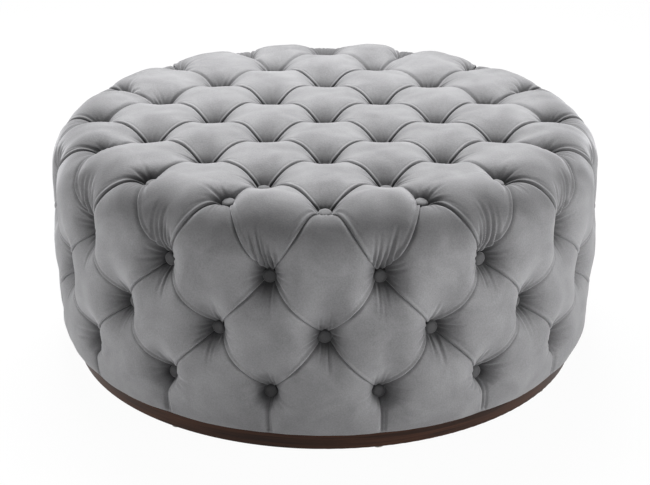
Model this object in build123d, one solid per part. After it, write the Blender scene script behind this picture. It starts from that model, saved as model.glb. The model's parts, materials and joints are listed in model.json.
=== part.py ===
from build123d import *

import os
from math import asin, atan2, cos, degrees, hypot, pi, sin

# A round, deep-buttoned ottoman coffee table in velvet on a recessed dark wood plinth.
# Frame: +Z up, origin on the floor under the middle, front towards -Y. All sizes in millimetres.
# Angles round the drum are in radians, from the front (-Y) towards +X.

# Overall
overall_diameter = 1000.0
overall_height = 440.0
crown_height = 48.0         # how far a side tuft's crown stands above the buttons' seats
top_crown_height = 38.0     # the same for a tuft on the top
shoulder_radius = 60.0      # rounding of the surface that the button seats lie on
slip = 0.3                  # clearance between neighbouring pieces
cut_overrun = 5.0           # how far a cutting tool runs past what it cuts

# Button layout
lattice_pitch = 101.5       # top lattice: half the diagonal of one square
ring_count = 16             # buttons in the rim ring and in each side row
upper_row_level = 312.0
row_drop = 104.5

# Tuft form
seat_disc_radius = 13.0     # flat disc under each button
pleat_height_share = 0.91   # a pleat's middle, as a share of the crown height
puff_power = 1.9            # 2 is a parabola, more is a fuller tuft
crown_power = 2.4
pleat_steps = 5             # straight runs along a pleat; odd, so one lies across its middle
corner_steps = 3            # straight runs round a button's seat, in each tuft beside it
hem_steps = 3               # straight runs down the last pleat, to the hem

# Cover and padding
velvet_thickness = 1.5
wadding_thickness = 6.0
hem_level = 38.0            # underside of the velvet, on the plinth
hem_crown = 30.0            # the cover's height above the seats' surface at the hem
hem_pleat = 27.0
hem_turn_radius = 416.0     # the velvet turned under ends here
needle_hole_radius = 2.6

# Wood frame
wall_board_radius = 440.0
wall_board_thickness = 4.0
deck_thickness = 18.0
deck_top = 384.0
ring_width = 105.0
mid_ring_level = 250.0      # underside of the middle ring
post_size = 45.0
post_circle_radius = 404.0
bay_count = 8               # posts, plinth blocks and glides round the drum
post_share = 0.25           # where in its bay a post or glide stands
batten_depth = 40.0
batten_half_length = 364.0
rail_width = 70.0
rail_thickness = 22.0
rail_half_length = 395.0
rail_screw_radius = 372.0
rail_screw_offset = 20.0
cleat_depth = 20.0
cleat_height = 40.0
strap_width = 60.0          # straps behind the wall board's butt joint, at the back
strap_thickness = 2.5
strap_margin = 6.0
butt_gap = 0.6

# Plinth and feet
glide_height = 2.5
glide_radius = 10.0
plinth_radius = 466.5
plinth_thickness = 22.0
plinth_edge = 1.5           # eased edges of the plinth
block_length = 80.0
block_depth = 42.0
block_base = 10.0
block_screw_radius = 408.0
nail_shank_radius = 1.2
nail_length = 16.0
nail_head_radius = 3.0
nail_head_height = 1.2
nail_sink = 0.8             # nail's head above the floor

# Screws and staples
screw_shank_radius = 2.0
screw_head_radius = 4.2
screw_head_height = 3.0
long_screw_length = 38.0
short_screw_length = 30.0
staple_crown = 10.0
staple_wire = 1.0
staple_leg = 6.0
staple_hole_radius = 1.0
staples_per_bay = 5
staple_pitch = 48.0
hem_staple_radius = 424.0
dust_staple_radius = 386.0
dust_staple_count = 32
dust_cover_radius = 398.0
dust_cover_thickness = 0.8

# Covered buttons and their ties
button_radius = 11.3
button_base_radius = 10.0
button_height = 8.0
button_waist_height = 2.6
back_radius = 8.4
back_thickness = 1.2
eye_radius = 1.2            # middle line of the wire eye's bow
eye_wire_radius = 0.6
eye_leg = 3.0
twine_radius = 0.8
knot_radius = 2.2
toggle_radius = 9.0
toggle_thickness = 2.0
toggle_hole_radius = 1.6

# Worked out
seat_radius = overall_diameter / 2 - crown_height
seat_level = overall_height - top_crown_height
flat_run = seat_radius - shoulder_radius
shoulder_run = shoulder_radius * pi / 2
rim_run = 4 * lattice_pitch
ring_step = 2 * pi / ring_count
butt_angle = pi + ring_step / 4
bay_step = 2 * pi / bay_count
plinth_inner_radius = plinth_radius - plinth_thickness
plinth_middle = plinth_radius - plinth_thickness / 2
frame_base = hem_level + velvet_thickness + slip
frame_radius = wall_board_radius - wall_board_thickness - slip
ring_inner_radius = frame_radius - ring_width
ring_top = frame_base + deck_thickness
rail_base = ring_top + slip
rail_top = rail_base + rail_thickness
deck_underside = deck_top - deck_thickness
mid_ring_top = mid_ring_level + deck_thickness
batten_top = deck_underside - slip
batten_x = lattice_pitch / 2
padding_drop = velvet_thickness + slip
wadding_inner_drop = padding_drop + wadding_thickness
foam_drop = wadding_inner_drop + slip
foam_bore = wall_board_radius + slip
cap_rise = button_height - button_waist_height
dome_radius = (button_radius ** 2 + cap_rise ** 2) / (2 * cap_rise)
foam_floor = deck_top + slip
wall_depth = seat_radius - wall_board_radius + wall_board_thickness + slip
upwards = (Align.CENTER, Align.CENTER, Align.MIN)
downwards = (Align.CENTER, Align.CENTER, Align.MAX)
outwards = (Align.CENTER, Align.MAX, Align.MIN)     # from the middle of the drum towards -Y


def run_to_level(level):
    """The run, measured over the shoulder from the middle of the top, to a level on the side."""
    return flat_run + shoulder_run + seat_level - shoulder_radius - level


def surface_tilt(run):
    """How far the surface has turned down over the shoulder: 0 on top, a quarter turn on the side."""
    return min(max((run - flat_run) / shoulder_radius, 0.0), pi / 2)


def crown_at(spot):
    """How high a tuft's crown stands above the seats' surface there: more and more over the shoulder."""
    return top_crown_height + (crown_height - top_crown_height) * surface_tilt(spot[1]) / (pi / 2)


def surface_point(spot, height=0.0):
    """A point at a height above the seats' surface. A spot is (angle round the drum, run from the middle)."""
    angle, run = spot
    tilt = surface_tilt(run)
    past = max(run - flat_run - shoulder_run, 0.0)
    radius = min(run, flat_run) + (shoulder_radius + height) * sin(tilt)
    level = seat_level - shoulder_radius + (shoulder_radius + height) * cos(tilt) - past
    return Vector(radius * sin(angle), -radius * cos(angle), level)


def seat_axes(spot):
    """The directions round the drum, down the surface and out of it, at a button's seat."""
    angle, tilt = spot[0], surface_tilt(spot[1])
    around = Vector(cos(angle), sin(angle), 0)
    down = Vector(cos(tilt) * sin(angle), -cos(tilt) * cos(angle), -sin(tilt))
    out = Vector(sin(tilt) * sin(angle), -sin(tilt) * cos(angle), cos(tilt))
    return around, down, out


def seat_location(spot, height=0.0):
    """A location on a button's seat, with its Z axis pointing out of the drum."""
    around, _, out = seat_axes(spot)
    return Plane(origin=surface_point(spot, height), x_dir=around, z_dir=out).location


def laid_out(spot):
    """A spot in the top's own plan, which is flat out to the rim ring."""
    angle, run = spot
    return run * sin(angle), -run * cos(angle)


def spot_at(x, y):
    """The spot at a place in the top's plan."""
    return atan2(x, -y), hypot(x, y)


def on_top(a, b):
    """True where a line between two spots lies in the top's plan, the rim ring included."""
    return max(a[1], b[1]) < rim_run + slip


def near_turn(angle, reference):
    """The same direction as angle, within half a turn of reference."""
    return reference + (angle - reference + pi) % (2 * pi) - pi


def between(a, b, share):
    """The spot part of the way from a to b: straight in the top's plan, or on the side rolled out flat."""
    if on_top(a, b):
        (ax, ay), (bx, by) = laid_out(a), laid_out(b)
        return spot_at(ax + (bx - ax) * share, ay + (by - ay) * share)
    return a[0] + (near_turn(b[0], a[0]) - a[0]) * share, a[1] + (b[1] - a[1]) * share


def span(a, b):
    """The distance from spot a to spot b along the surface."""
    if on_top(a, b):
        (ax, ay), (bx, by) = laid_out(a), laid_out(b)
        return hypot(bx - ax, by - ay)
    return hypot((near_turn(b[0], a[0]) - a[0]) * seat_radius, b[1] - a[1])


def bearing(a, b):
    """The direction from button a towards spot b, from the round axis towards the down axis of a's seat."""
    if on_top(a, b):
        (ax, ay), (bx, by) = laid_out(a), laid_out(b)
        dx, dy = bx - ax, by - ay
        return atan2(dx * sin(a[0]) - dy * cos(a[0]), dx * cos(a[0]) + dy * sin(a[0]))
    return atan2(b[1] - a[1], (near_turn(b[0], a[0]) - a[0]) * seat_radius)


def on_seat_disc(spot, direction, drop):
    """A point on the edge of a button's seat disc."""
    around, down, _ = seat_axes(spot)
    centre = surface_point(spot, -drop)
    return centre + around * (seat_disc_radius * cos(direction)) + down * (seat_disc_radius * sin(direction))


def puff(share, power=puff_power):
    """0 at both ends and 1 in the middle: the rise of a pleat or of a tuft."""
    return 1 - abs(2 * share - 1) ** power


def lattice_spot(i, j):
    """A top button's spot, i steps to the right and j steps to the front of the middle."""
    if max(abs(i), abs(j)) == 4:
        return spot_at(i, -j)[0], rim_run
    return spot_at(i * lattice_pitch, -j * lattice_pitch)


def rim_spot(k):
    """A rim button's spot, k steps round from the front."""
    return k * ring_step, rim_run


def row_spot(row, k):
    """A side button's spot, k steps round from the front, row 0 being the upper row."""
    return k * ring_step, run_to_level(upper_row_level - row * row_drop)


def row_spots(row):
    """All the buttons' spots in a side row: the middle row is half a step out from the others."""
    return [row_spot(row, k + (row % 2 == 0) / 2) for k in range(ring_count)]


grid = range(-3, 4)
top_places = [(i, j) for i in grid for j in grid if (i + j) % 2 == 0 and abs(i) + abs(j) < 6]
top_spots = [lattice_spot(i, j) for i, j in top_places]
rim_spots = [rim_spot(k) for k in range(ring_count)]
side_spots = row_spots(0) + row_spots(1) + row_spots(2)
deck_spots = top_spots + rim_spots
all_spots = deck_spots + side_spots


def seat_name(spot):
    """What tells one button's seat from another's."""
    return tuple(round(value, 1) for value in surface_point(spot))


def pleat_chain(a, b, drop):
    """Points along the pleat from button a to button b, each with the seat whose edge it is on, or None."""
    end_share = seat_disc_radius / span(a, b)
    points = [(on_seat_disc(a, bearing(a, b), drop), seat_name(a))]
    for k in range(1, pleat_steps):
        share = (1 - cos(pi * k / pleat_steps)) / 2
        spot = between(a, b, end_share + (1 - 2 * end_share) * share)
        height = pleat_height_share * crown_at(spot) * puff(share)
        points.append((surface_point(spot, height - drop), None))
    return points + [(on_seat_disc(b, bearing(b, a), drop), seat_name(b))]


def hem_chain(a, foot, drop):
    """Points down the last pleat, from a lower-row button to the hem."""
    end_share = seat_disc_radius / span(a, foot)
    points = [(on_seat_disc(a, bearing(a, foot), drop), seat_name(a))]
    for k in range(1, hem_steps + 1):
        share = sin(pi / 2 * k / hem_steps)
        rise = 1 - (1 - share) ** puff_power
        spot = between(a, foot, end_share + (1 - end_share) * share)
        points.append((surface_point(spot, hem_pleat * rise - drop), None))
    return points


def corner_chain(button, before, after, drop):
    """Points round a button's seat disc, between the pleat that comes in and the pleat that goes on."""
    start = bearing(button, before)
    turn = near_turn(bearing(button, after), start) - start
    steps = range(1, corner_steps)
    return [(on_seat_disc(button, start + turn * k / corner_steps, drop), seat_name(button)) for k in steps]


def side_chain(corners, drop, to_hem):
    """One side of a tuft: points along its pleats and round the buttons between them."""
    chain = []
    last = len(corners) - 2
    for k in range(last + 1):
        if k > 0:
            chain += corner_chain(corners[k], corners[k - 1], corners[k + 1], drop)
        make = hem_chain if to_hem and k == last else pleat_chain
        chain += make(corners[k], corners[k + 1], drop)
    return chain


def progress(chain):
    """How far along its chain each point lies, as a share of the whole."""
    points = [point for point, _ in chain]
    lengths = [(q - p).length for p, q in zip(points, points[1:])]
    return [sum(lengths[:k]) / sum(lengths) for k in range(len(points))]


def crown_rise(spot, share, from_pleat, to_hem):
    """The height of a tuft's crown line at a spot, part of the way from its head to its foot."""
    crown, rise = crown_at(spot), puff(share, crown_power)
    pleat_height = pleat_height_share * crown
    if from_pleat and share < 1 / 2:
        return pleat_height + (crown - pleat_height) * rise
    if to_hem and share > 1 / 2:
        return hem_crown + (crown - hem_crown) * rise
    return 2 * pleat_height * rise * (1 - rise) + crown * rise ** 2


def seat_arc(button, p, q, drop):
    """The arc round a button's seat disc from p to q, the short way."""
    centre = surface_point(button, -drop)
    middle = (p + q) / 2 - centre
    return ThreePointArc(p, centre + middle.normalized() * seat_disc_radius, q).edge()


def tuft_sections(tuft, drop, bottom):
    """The arcs that cross one tuft from side to side over its crown, and the two sides' chains.

    A tuft names its left and right buttons, from its head to its foot, and the spine its crown runs along.
    One that starts from a pleat has its head at the middle of the pleat between two buttons. One that runs
    to the hem has its foot at the bottom level.
    """
    left, right, (head, foot), from_pleat, to_hem = tuft
    if to_hem:
        foot_run = run_to_level(bottom)
        left, right = left + [(left[-1][0], foot_run)], right + [(right[-1][0], foot_run)]
        foot = (head[0], foot_run)
    left_chain, right_chain = side_chain(left, drop, to_hem), side_chain(right, drop, to_hem)
    if from_pleat:
        skipped = pleat_steps // 2 + 1
        left_chain, right_chain = left_chain[skipped:], right_chain[skipped:]
    head_share = 0 if from_pleat else seat_disc_radius / span(head, foot)
    foot_share = 0 if to_hem else seat_disc_radius / span(head, foot)
    last = len(left_chain) - 1
    sections = []
    for k, shares in enumerate(zip(progress(left_chain), progress(right_chain))):
        p, q, share = left_chain[k][0], right_chain[k][0], sum(shares) / 2
        spot = between(head, foot, head_share + (1 - head_share - foot_share) * share)
        crown = surface_point(spot, crown_rise(spot, share, from_pleat, to_hem) - drop)
        if k == 0 and from_pleat:
            sections.append(Line(p, q).edge())
        elif k == 0 or (k == last and not to_hem):
            sections.append(seat_arc(head if k == 0 else foot, p, q, drop))
        else:
            sections.append(ThreePointArc(p, crown, q).edge())
    return sections, left_chain, right_chain


def diamond(head, left, right, foot):
    """A tuft between four buttons."""
    return [head, left, foot], [head, right, foot], (head, foot), False, False


def tuft_plan():
    """Every tuft: those within the top, those over the rim, and three rows down the side."""
    plan = []
    for i, j in [(i, j) for i in grid for j in grid if (i + j) % 2 == 1 and abs(i) + abs(j) <= 3]:
        corners = [lattice_spot(i + di, j + dj) for di, dj in ((0, -1), (-1, 0), (1, 0), (0, 1))]
        plan.append(diamond(*corners))
    for turn in range(0, ring_count, ring_count // 4):
        inner = [lattice_spot(*place) for place in ((1, 3), (2, 2), (3, 1))]
        inner = [(angle + turn * ring_step, run) for angle, run in inner]
        for k, heads in enumerate((inner[:1], inner[:2], inner[1:], inner[2:])):
            near, far, foot = rim_spot(turn + k), rim_spot(turn + k + 1), row_spot(0, turn + k + 1 / 2)
            if len(heads) == 1:
                plan.append(diamond(heads[0], near, far, foot))
            else:
                a, b = heads
                spine = (between(a, b, 1 / 2), foot)
                plan.append(([b, a, near, foot], [a, b, far, foot], spine, True, False))
    for k in range(ring_count):
        before, after = k - 1 / 2, k + 1 / 2
        plan.append(diamond(rim_spot(k), row_spot(0, before), row_spot(0, after), row_spot(1, k)))
        plan.append(diamond(row_spot(0, after), row_spot(1, k), row_spot(1, k + 1), row_spot(2, after)))
        head, left, right = row_spot(1, k), row_spot(2, before), row_spot(2, after)
        plan.append(([head, left], [head, right], (head, None), False, True))
    return plan


def tufted_surface(drop, bottom):
    """The tufted surface, dropped by a thickness: its faces, its seats' edges and its hem's edges."""
    faces, seat_edges, hem_edges = [], {}, []
    for tuft in tuft_plan():
        sections, *chains = tuft_sections(tuft, drop, bottom)
        faces += [Face.make_surface_from_curves(a, b) for a, b in zip(sections, sections[1:])]
        for chain in chains:
            for (p, seat), (q, next_seat) in zip(chain, chain[1:]):
                if seat is not None and seat == next_seat:
                    seat_edges.setdefault(seat, []).append(Line(p, q).edge())
        ends = [(sections[0], chains[0][0][1]), (sections[-1], chains[0][-1][1])]
        for section, seat in ends:
            if seat is not None:
                seat_edges.setdefault(seat, []).append(section)
        if tuft[-1]:
            hem_edges.append(sections[-1])
    return faces, seat_edges, hem_edges


def ring_wire(radius, level):
    """A circle round the drum at a level."""
    return Wire(Edge.make_circle(radius, Plane.XY.offset(level)))


def needle_wire(spot, drop):
    """The edge of a needle hole in a button's seat."""
    return Wire(Edge.make_circle(needle_hole_radius)).moved(seat_location(spot, -drop))


def seat_faces(seat_edges, drop):
    """The flat seats under the buttons, each with its needle hole."""
    return [Face(Wire(seat_edges[seat_name(spot)]), [needle_wire(spot, drop)]) for spot in all_spots]


def needle_tubes(drop, inner_drop):
    """The needle holes' walls, between two tufted surfaces."""
    pairs = [(needle_wire(spot, drop).edge(), needle_wire(spot, inner_drop).edge()) for spot in all_spots]
    return [Face.make_surface_from_curves(a, b) for a, b in pairs]


def closed(faces):
    """A solid within faces that meet all round."""
    return Solid(Shell(faces))


def turned(angle):
    """Turned round the drum from the front."""
    return Rot(Z=degrees(angle))


def placed_round(shape, angles, radius, level):
    """Copies of a shape round the drum. The shape's own -Y side faces out."""
    return [turned(angle) * Pos(0, -radius, level) * shape for angle in angles]


def group(solids):
    """Separate solids of one kind, as one part."""
    return Compound(children=list(solids))


def bays(offset_share=0.0):
    """The angles of the bays round the drum."""
    return [(k + offset_share) * bay_step for k in range(bay_count)]


def disc(radius, base, thickness):
    """A round board lying level."""
    return Pos(0, 0, base) * Cylinder(radius, thickness, align=upwards)


def hoop(outer, inner, base, thickness):
    """A level ring."""
    return disc(outer, base, thickness) - disc(inner, base - cut_overrun, thickness + 2 * cut_overrun)


def screw(length, clearance=0.0):
    """A screw pointing up, its head just below z = 0. With a clearance it is the hole for one."""
    head_height = screw_head_height + (cut_overrun if clearance else 0)
    head = Cylinder(screw_head_radius + clearance, head_height, align=downwards)
    return head + Cylinder(screw_shank_radius + clearance, length + clearance, align=upwards)


def staple():
    """A staple pointing up, its crown just below z = 0."""
    leg_x = (staple_crown - staple_wire) / 2
    leg = Box(staple_wire, staple_wire, staple_leg + staple_wire, align=upwards)
    crown = Box(staple_crown, staple_wire, staple_wire, align=upwards)
    return Pos(0, 0, -staple_wire) * (crown + Pos(leg_x, 0, 0) * leg + Pos(-leg_x, 0, 0) * leg)


def staple_holes(places, depth):
    """Holes for staples' legs, upward from each place."""
    leg_x = (staple_crown - staple_wire) / 2
    hole = Pos(0, 0, -cut_overrun) * Cylinder(staple_hole_radius, depth + cut_overrun, align=upwards)
    return [place * Pos(x, 0, 0) * hole for place in places for x in (-leg_x, leg_x)]


def hem_staple_places():
    """Where the staples that hold the hem go, just under the velvet, clear of the plinth's blocks."""
    middle = (staples_per_bay - 1) / 2
    offsets = [(k - middle) * staple_pitch / hem_staple_radius for k in range(staples_per_bay)]
    angles = [bay + offset for bay in bays(1 / 2) for offset in offsets]
    return [turned(angle) * Pos(0, -hem_staple_radius, hem_level) for angle in angles]


def dust_staple_places():
    """Where the staples that hold the dust cover go, just under it."""
    angles = [2 * pi * (k + 1 / 2) / dust_staple_count for k in range(dust_staple_count)]
    level = frame_base - slip - dust_cover_thickness
    return [turned(angle) * Pos(0, -dust_staple_radius, level) for angle in angles]


def screw_places():
    """Where screws go, by kind. Each location's Z axis points the way its screw does."""
    over = Rot(X=180)
    sunk = screw_head_height
    posts_up = [turned(a) * Pos(0, -post_circle_radius, frame_base + sunk) for a in bays(post_share)]
    posts_down = [turned(a) * Pos(0, -post_circle_radius, deck_top - sunk) * over for a in bays(post_share)]
    spread = [(k + 1 / 2) * 2 * lattice_pitch * y for k in range(2) for y in (-1, 1)]
    battens = [Pos(x, y, deck_top - sunk) * over for x in (-batten_x, batten_x) for y in spread]
    plinth = [turned(a) * Pos(0, -block_screw_radius, block_base + sunk) for a in bays()]
    ends = [turned(k * pi / 2) * Pos(x, -rail_screw_radius, rail_top) * over
            for k in range(4) for x in (-rail_screw_offset, rail_screw_offset)]
    return {"post_screws": posts_up, "deck_screws": posts_down + battens,
            "plinth_screws": plinth, "rail_screws": ends}


def screw_length(kind):
    """Rails and the plinth's blocks and the rest take different screws."""
    return short_screw_length if kind == "rail_screws" else long_screw_length


def screw_holes(*kinds):
    """The holes for screws of these kinds."""
    return [place * screw(screw_length(kind), slip) for kind in kinds for place in screw_places()[kind]]


def velvet_cover():
    """The velvet: a thin tufted skin, turned under at the hem, with holes for the ties and hem staples."""
    inner_level = hem_level + velvet_thickness
    outer_faces, outer_seats, outer_hem = tufted_surface(0.0, hem_level)
    inner_faces, inner_seats, inner_hem = tufted_surface(velvet_thickness, inner_level)
    leg_x = (staple_crown - staple_wire) / 2
    legs = [place * Pos(x, 0, 0) for place in hem_staple_places() for x in (-leg_x, leg_x)]
    hole = Wire(Edge.make_circle(staple_hole_radius))
    lower_holes = [hole.moved(leg) for leg in legs]
    upper_holes = [hole.moved(leg * Pos(0, 0, velvet_thickness)) for leg in legs]
    lower_turn, upper_turn = ring_wire(hem_turn_radius, hem_level), ring_wire(hem_turn_radius, inner_level)
    lower_edges, upper_edges = [lower_turn, *lower_holes], [upper_turn, *upper_holes]
    flange = [Face(Wire(outer_hem), lower_edges), Face(Wire(inner_hem), upper_edges)]
    walls = [Face.make_surface_from_curves(a.edge(), b.edge()) for a, b in zip(lower_edges, upper_edges)]
    walls += needle_tubes(0.0, velvet_thickness)
    seats = seat_faces(outer_seats, 0.0) + seat_faces(inner_seats, velvet_thickness)
    return closed([*outer_faces, *inner_faces, *seats, *walls, *flange])


def wadding():
    """Polyester fibre under the velvet, tufted with it."""
    outer_faces, outer_seats, outer_hem = tufted_surface(padding_drop, frame_base)
    inner_faces, inner_seats, inner_hem = tufted_surface(wadding_inner_drop, frame_base)
    seats = seat_faces(outer_seats, padding_drop) + seat_faces(inner_seats, wadding_inner_drop)
    tubes = needle_tubes(padding_drop, wadding_inner_drop)
    base = Face(Wire(outer_hem), [Wire(inner_hem)])
    return closed([*outer_faces, *inner_faces, *seats, *tubes, base])


def foam():
    """The foam, pulled in at every button: one tufted block, before its needle holes are cut."""
    faces, seat_edges, hem_edges = tufted_surface(foam_drop, frame_base)
    seats = [Face(Wire(seat_edges[seat_name(spot)])) for spot in all_spots]
    bore_low, bore_high = ring_wire(foam_bore, frame_base), ring_wire(foam_bore, foam_floor)
    base = Face(Wire(hem_edges), [bore_low])
    bore = Face.make_surface_from_curves(bore_low.edge(), bore_high.edge())
    return closed([*faces, *seats, base, bore, Face(bore_high)])


def needle_bores(spots, depth):
    """Cutters for the ties, through a board or foam behind the buttons' seats."""
    bore = Cylinder(needle_hole_radius, depth + cut_overrun, align=downwards)
    return [seat_location(spot) * bore for spot in spots]


def button_cap():
    """A covered button: a low dome, hollow underneath for its back."""
    bore = back_radius + slip
    rim = (button_radius, button_waist_height)
    side = ThreePointArc((button_base_radius, 0), (button_radius - slip, button_waist_height / 2), rim)
    half_turn = asin(button_radius / dome_radius) / 2
    middle = (dome_radius * sin(half_turn), button_height - dome_radius * (1 - cos(half_turn)))
    dome = ThreePointArc(rim, middle, (0, button_height))
    ceiling = back_thickness + slip
    inside = Polyline((0, button_height), (0, ceiling), (bore, ceiling), (bore, 0))
    sole = Line((bore, 0), (button_base_radius, 0))
    profile = Plane.XZ * make_face([side, dome, inside, sole])
    return Pos(0, 0, slip) * revolve(profile, Axis.Z)


def button_back():
    """A button's metal back, with a wire eye below it."""
    plate = Cylinder(back_radius, back_thickness, align=upwards)
    leg = Cylinder(eye_wire_radius, eye_leg, align=downwards)
    bow = Rot(X=90) * Torus(eye_radius, eye_wire_radius)
    bow_half = bow - Box(4 * eye_radius, 4 * eye_radius, 4 * eye_radius, align=upwards)
    eye = Pos(eye_radius, 0, 0) * leg + Pos(-eye_radius, 0, 0) * leg + Pos(0, 0, -eye_leg) * bow_half
    return Pos(0, 0, slip) * (plate + eye)


def tie(far_depth):
    """A twine from under a button's eye to a knot behind its toggle, far_depth below the seat."""
    start = eye_leg + eye_radius + eye_wire_radius
    length = far_depth + toggle_thickness + knot_radius - start
    cord = Pos(0, 0, -start) * Cylinder(twine_radius, length, align=downwards)
    return cord + Pos(0, 0, -start - length) * Sphere(knot_radius)


def toggle():
    """A flat fibre washer that stops a tie behind a board."""
    body = Cylinder(toggle_radius, toggle_thickness, align=downwards)
    hole = Cylinder(toggle_hole_radius, toggle_thickness + 2 * cut_overrun, align=downwards)
    return body - Pos(0, 0, cut_overrun) * hole


def deck_depth(spot):
    """How far below a top or rim button's seat, along its tie, the deck's underside is."""
    return (surface_point(spot).Z - deck_underside) / cos(surface_tilt(spot[1]))


def deck_toggle_place(spot):
    """A toggle's location, level under the deck, where the tie comes through."""
    end = surface_point(spot, -deck_depth(spot))
    return Pos(end.X, end.Y, deck_underside - slip)


def plinth_ring():
    """The recessed plinth, its outer edges eased, with holes for the glides' nails."""
    ring = hoop(plinth_radius, plinth_inner_radius, glide_height, hem_level - slip - glide_height)
    circles = ring.edges().filter_by(GeomType.CIRCLE)
    ring = fillet([edge for edge in circles if edge.radius > plinth_inner_radius + slip], plinth_edge)
    nail_hole = Cylinder(nail_shank_radius + slip, nail_length + cut_overrun, align=upwards)
    return ring - placed_round(nail_hole, bays(post_share), plinth_middle, glide_height - cut_overrun)


def glide():
    """A nylon foot with a sunk hole for its nail."""
    puck = Cylinder(glide_radius, glide_height, align=upwards)
    puck = fillet(puck.edges().group_by(Axis.Z)[0], plinth_edge)
    hole = Cylinder(nail_shank_radius + slip, glide_height + cut_overrun, align=upwards)
    sink = Cylinder(nail_head_radius + slip, nail_head_height + nail_sink + cut_overrun, align=upwards)
    return puck - hole - Pos(0, 0, -cut_overrun) * sink


def nail():
    """A glide's nail, pointing up."""
    head = Cylinder(nail_head_radius, nail_head_height, align=upwards)
    shank = Cylinder(nail_shank_radius, nail_length, align=upwards)
    return Pos(0, 0, nail_sink) * (head + shank)


def plinth_block():
    """A glue block inside the plinth, before its screw hole is cut."""
    height = hem_level - slip - block_base
    radius = plinth_inner_radius - slip - block_depth
    blank = Pos(0, -radius, block_base) * Box(block_length, block_depth, height, align=outwards)
    return blank & disc(plinth_inner_radius - slip, block_base, height)


def rails():
    """The two rails across the base ring, halved together in the middle."""
    rail = Pos(0, 0, rail_base) * Box(2 * rail_half_length, rail_width, rail_thickness, align=upwards)
    notch = Box(rail_width + 2 * slip, rail_width + 2 * cut_overrun, rail_thickness / 2 + cut_overrun)
    middle = rail_base + rail_thickness / 2
    offset = (rail_thickness / 2 + cut_overrun - slip) / 2
    upper_notch, lower_notch = Pos(0, 0, middle + offset) * notch, Pos(0, 0, middle - offset) * notch
    holes = screw_holes("rail_screws")
    long_rail = rail - upper_notch - holes
    cross_rail = Rot(Z=90) * (rail - lower_notch) - holes
    return long_rail, cross_rail


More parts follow.
